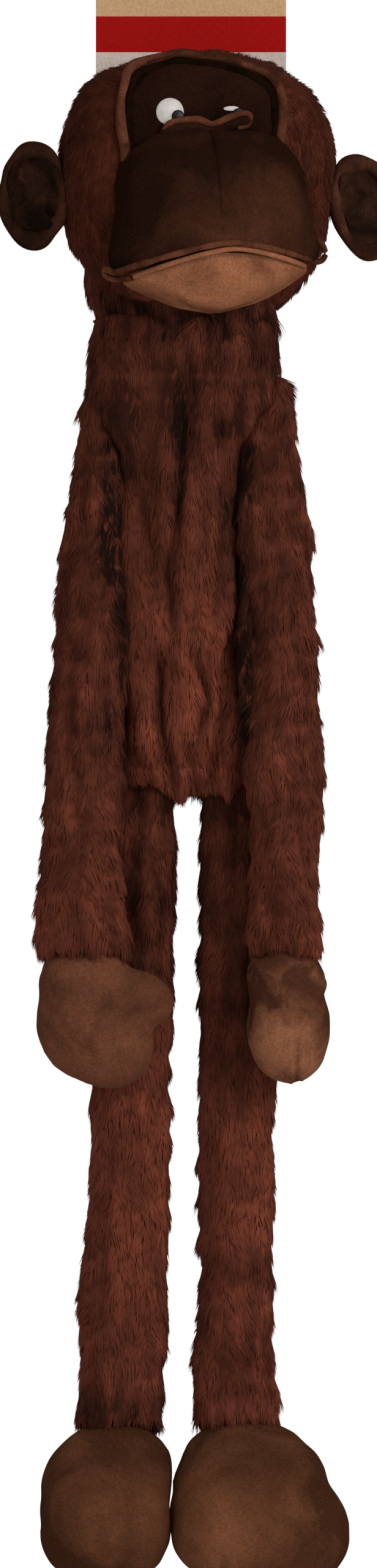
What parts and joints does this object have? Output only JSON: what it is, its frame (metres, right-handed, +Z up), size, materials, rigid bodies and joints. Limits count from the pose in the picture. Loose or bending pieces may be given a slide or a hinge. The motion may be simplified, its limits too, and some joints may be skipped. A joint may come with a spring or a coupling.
{
  "type": "stuffed monkey",
  "caption": "Long-limbed stuffed monkey in shaggy fur, with a smooth plush face, hands and feet and squeakers inside, hanging from a blank header card.",
  "frame": {"origin": "centre of the hang hole in the header card", "axes": "+Z up; the monkey faces -Y; its own left side is +X"},
  "size_m": [0.2779, 0.1788, 1.185],
  "materials": {
    "card": "uncoated printed card",
    "pin": "clear moulded",
    "fur": "long-pile fur fabric",
    "dark_plush": "short brushed plush",
    "trim_plush": "short brushed plush",
    "paw_plush": "short brushed plush",
    "jaw_plush": "short brushed plush",
    "eye_white": "glossy",
    "eye_black": "glossy",
    "filling": "loose polyester fibre",
    "squeaker_plastic": "blown thin wall",
    "reed_plastic": "moulded"
  },
  "bodies": {
    "card": {"header_card": "card"},
    "head": {"tag_pins": "pin", "head_skin": "fur", "head_stuffing": "filling", "face_panel": "dark_plush", "brow_ridge": "trim_plush", "left_eye": "eye_white", "right_eye": "eye_white", "left_pupil": "eye_black", "right_pupil": "eye_black", "eye_washers": "pin", "nose_fold": "trim_plush", "muzzle_left_panel": "dark_plush", "muzzle_right_panel": "dark_plush", "muzzle_stuffing": "filling", "lip_welt": "trim_plush", "lower_jaw": "jaw_plush", "head_squeaker_base": "squeaker_plastic", "head_squeaker_reed": "reed_plastic"},
    "head_squeaker": {"head_squeaker_dome": "squeaker_plastic"},
    "left_ear": {"left_ear_back": "fur", "left_ear_front": "dark_plush"},
    "right_ear": {"right_ear_back": "fur", "right_ear_front": "dark_plush"},
    "neck": {"neck_skin": "fur", "neck_stuffing": "filling"},
    "torso": {"torso_skin": "fur", "torso_stuffing": "filling", "belly_squeaker_base": "squeaker_plastic", "belly_squeaker_reed": "reed_plastic"},
    "belly_squeaker": {"belly_squeaker_dome": "squeaker_plastic"},
    "left_shoulder": {"left_shoulder_ball": "fur"},
    "left_upper_arm": {"left_upper_sleeve": "fur", "left_upper_arm_stuffing": "filling"},
    "left_forearm": {"left_forearm_sleeve": "fur", "left_forearm_stuffing": "filling"},
    "left_hand": {"left_hand_skin": "paw_plush", "left_hand_stuffing": "filling"},
    "left_hip": {"left_hip_ball": "fur"},
    "left_thigh": {"left_thigh_sleeve": "fur", "left_thigh_stuffing": "filling"},
    "left_shin": {"left_shin_sleeve": "fur", "left_shin_stuffing": "filling"},
    "left_foot": {"left_foot_skin": "paw_plush", "left_foot_stuffing": "filling"},
    "right_shoulder": {"right_shoulder_ball": "fur"},
    "right_upper_arm": {"right_upper_sleeve": "fur", "right_upper_arm_stuffing": "filling"},
    "right_forearm": {"right_forearm_sleeve": "fur", "right_forearm_stuffing": "filling"},
    "right_hand": {"right_hand_skin": "paw_plush", "right_hand_stuffing": "filling"},
    "right_hip": {"right_hip_ball": "fur"},
    "right_thigh": {"right_thigh_sleeve": "fur", "right_thigh_stuffing": "filling"},
    "right_shin": {"right_shin_sleeve": "fur", "right_shin_stuffing": "filling"},
    "right_foot": {"right_foot_skin": "paw_plush", "right_foot_stuffing": "filling"}
  },
  "joints": [
    {"name": "head_swing", "type": "hinge", "parent": "card", "child": "head", "pos_m": [0, 0, -0.095], "axis": [-1, 0, 0], "range_deg": [0, 40]},
    {"name": "neck_turn", "type": "hinge", "parent": "head", "child": "neck", "pos_m": [-0.001, -0.063, -0.24], "axis": [0, 0, 1], "range_deg": [-25, 25], "stiffness_Nm_per_rad": 0.15},
    {"name": "neck_nod", "type": "hinge", "parent": "neck", "child": "torso", "pos_m": [0, -0.063, -0.29], "axis": [-1, 0, 0], "range_deg": [-15, 15], "stiffness_Nm_per_rad": 0.3},
    {"name": "head_squeeze", "type": "slide", "parent": "head", "child": "head_squeaker", "axis": [-0.1564, 0.9877, 0], "range_m": [0, 0.006], "stiffness_N_per_m": 300},
    {"name": "belly_squeeze", "type": "slide", "parent": "torso", "child": "belly_squeaker", "axis": [0, 1, 0], "range_m": [0, 0.006], "stiffness_N_per_m": 300},
    {"name": "left_ear_flop", "type": "hinge", "parent": "head", "child": "left_ear", "pos_m": [0.10194, -0.05451, -0.17556], "axis": [-0.0345, -0.0055, 0.9994], "range_deg": [-30, 50], "stiffness_Nm_per_rad": 0.03},
    {"name": "right_ear_flop", "type": "hinge", "parent": "head", "child": "right_ear", "pos_m": [-0.09187, -0.08521, -0.17241], "axis": [0.0345, 0.0055, -0.9994], "range_deg": [-30, 50], "stiffness_Nm_per_rad": 0.03},
    {"name": "left_shoulder_swing", "type": "hinge", "parent": "torso", "child": "left_shoulder", "pos_m": [0.06, -0.062, -0.322], "axis": [-1, 0, 0], "range_deg": [0, 95]},
    {"name": "left_shoulder_spread", "type": "hinge", "parent": "left_shoulder", "child": "left_upper_arm", "pos_m": [0.06, -0.062, -0.322], "axis": [0, -1, 0], "range_deg": [0, 80]},
    {"name": "left_elbow", "type": "hinge", "parent": "left_upper_arm", "child": "left_forearm", "pos_m": [0.072, -0.085, -0.515], "axis": [-1, 0, 0], "range_deg": [0, 100]},
    {"name": "left_wrist", "type": "hinge", "parent": "left_forearm", "child": "left_hand", "pos_m": [0.067, -0.098, -0.722], "axis": [-1, 0, 0], "range_deg": [-18, 35], "stiffness_Nm_per_rad": 0.06},
    {"name": "left_hip_swing", "type": "hinge", "parent": "torso", "child": "left_hip", "pos_m": [0.034, -0.042, -0.598], "axis": [1, 0, 0], "range_deg": [0, 70]},
    {"name": "left_hip_spread", "type": "hinge", "parent": "left_hip", "child": "left_thigh", "pos_m": [0.034, -0.042, -0.598], "axis": [0, -1, 0], "range_deg": [0, 40]},
    {"name": "left_knee", "type": "hinge", "parent": "left_thigh", "child": "left_shin", "pos_m": [0.034, -0.042, -0.83], "axis": [1, 0, 0], "range_deg": [0, 105]},
    {"name": "left_ankle", "type": "hinge", "parent": "left_shin", "child": "left_foot", "pos_m": [0.031, -0.042, -1.062], "axis": [-1, 0, 0], "range_deg": [-25, 30], "stiffness_Nm_per_rad": 0.25},
    {"name": "right_shoulder_swing", "type": "hinge", "parent": "torso", "child": "right_shoulder", "pos_m": [-0.067, -0.062, -0.322], "axis": [-1, 0, 0], "range_deg": [0, 95]},
    {"name": "right_shoulder_spread", "type": "hinge", "parent": "right_shoulder", "child": "right_upper_arm", "pos_m": [-0.067, -0.062, -0.322], "axis": [0, 1, 0], "range_deg": [0, 80]},
    {"name": "right_elbow", "type": "hinge", "parent": "right_upper_arm", "child": "right_forearm", "pos_m": [-0.079, -0.084, -0.515], "axis": [-1, 0, 0], "range_deg": [0, 100]},
    {"name": "right_wrist", "type": "hinge", "parent": "right_forearm", "child": "right_hand", "pos_m": [-0.077, -0.094, -0.722], "axis": [-1, 0, 0], "range_deg": [-8, 35], "stiffness_Nm_per_rad": 0.06},
    {"name": "right_hip_swing", "type": "hinge", "parent": "torso", "child": "right_hip", "pos_m": [-0.043, -0.042, -0.598], "axis": [1, 0, 0], "range_deg": [0, 70]},
    {"name": "right_hip_spread", "type": "hinge", "parent": "right_hip", "child": "right_thigh", "pos_m": [-0.043, -0.042, -0.598], "axis": [0, 1, 0], "range_deg": [0, 40]},
    {"name": "right_knee", "type": "hinge", "parent": "right_thigh", "child": "right_shin", "pos_m": [-0.043, -0.042, -0.83], "axis": [1, 0, 0], "range_deg": [0, 105]},
    {"name": "right_ankle", "type": "hinge", "parent": "right_shin", "child": "right_foot", "pos_m": [-0.052, -0.042, -1.062], "axis": [-1, 0, 0], "range_deg": [-25, 30], "stiffness_Nm_per_rad": 0.25}
  ]
}
